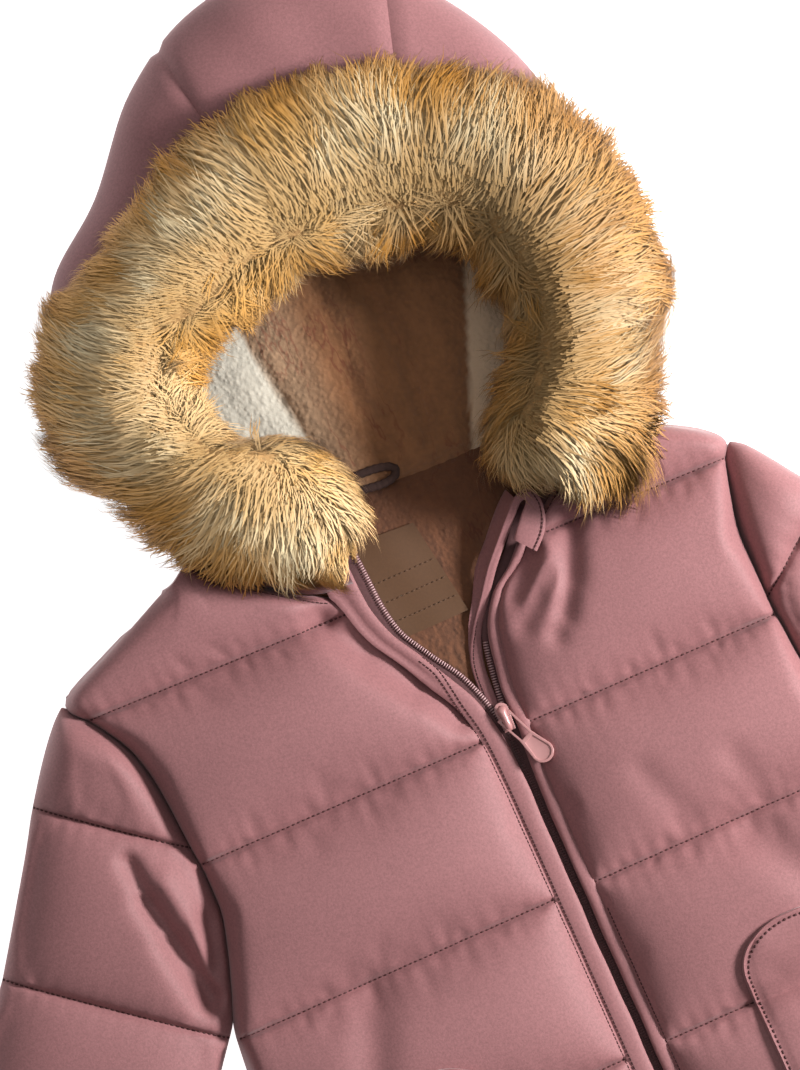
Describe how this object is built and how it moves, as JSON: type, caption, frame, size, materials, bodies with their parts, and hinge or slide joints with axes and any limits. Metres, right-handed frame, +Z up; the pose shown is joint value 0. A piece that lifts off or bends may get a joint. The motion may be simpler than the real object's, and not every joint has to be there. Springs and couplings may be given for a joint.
{
  "type": "kids puffer jacket",
  "caption": "Child's quilted puffer jacket lying open at the neck, flat on its back, with a hood edged in fur, a front zip under a flap, a chin guard and two arched patch pockets.",
  "frame": {"origin": "on the surface the jacket lies on, under the middle of the third quilted channel of the back, counted down from the neck, at the front zip's middle", "axes": "+X towards the wearer's left, +Y from the hem to the hood, +Z up, out of the jacket's front"},
  "size_m": [0.6455, 0.5931, 0.0801],
  "materials": {
    "shell_cloth": "satin",
    "lining_pile": "matt pile",
    "fur": "long hair",
    "zip_tape": "matt",
    "zip_paint": "satin",
    "label_satin": "satin",
    "loop_ribbon": "matt"
  },
  "bodies": {
    "root": {"back_panel": "shell_cloth", "front_right": "shell_cloth", "front_left": "shell_cloth", "sleeve_right": "shell_cloth", "sleeve_left": "shell_cloth", "hood_side_right": "shell_cloth", "hood_centre": "shell_cloth", "hood_side_left": "shell_cloth", "hood_facing": "shell_cloth", "wind_guard": "shell_cloth", "placket_flap": "shell_cloth", "placket_edge": "shell_cloth", "pocket_right": "shell_cloth", "pocket_left": "shell_cloth", "hood_lining": "lining_pile", "neck_lining": "lining_pile", "fur_trim": "fur", "zip_tape_right": "zip_tape", "zip_tape_left": "zip_tape", "zip_slider": "zip_paint", "label": "label_satin", "hanger_loop": "loop_ribbon"},
    "pull": {"zip_pull": "zip_paint"}
  },
  "joints": [
    {"name": "pull_hinge", "type": "hinge", "parent": "root", "child": "pull", "pos_m": [0.0077, 0.04, 0.0182], "axis": [-0.9135, -0.4067, 0], "range_deg": [0, 150]}
  ]
}
